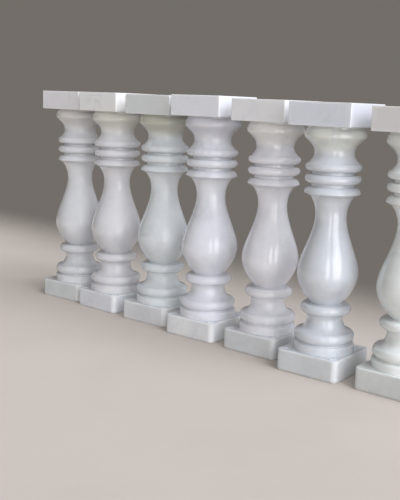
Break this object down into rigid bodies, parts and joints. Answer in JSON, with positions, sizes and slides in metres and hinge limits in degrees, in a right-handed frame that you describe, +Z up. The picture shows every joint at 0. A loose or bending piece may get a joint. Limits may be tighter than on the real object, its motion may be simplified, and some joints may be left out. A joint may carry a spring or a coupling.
{
  "type": "stone balustrade",
  "caption": "Row of free-standing turned marble balusters, each with a square plinth, pear-shaped vase, ringed neck and square abacus, standing side by side ready to carry a handrail.",
  "frame": {"origin": "centre of the row's bounding box, on the floor", "axes": "+X along the row, +Y to the back, +Z up"},
  "size_m": [1.2756, 0.1892, 0.6],
  "materials": {
    "marble": "polished"
  },
  "bodies": {
    "root": {"baluster_1": "marble", "baluster_2": "marble", "baluster_3": "marble", "baluster_4": "marble", "baluster_5": "marble", "baluster_6": "marble", "baluster_7": "marble"}
  },
  "joints": []
}
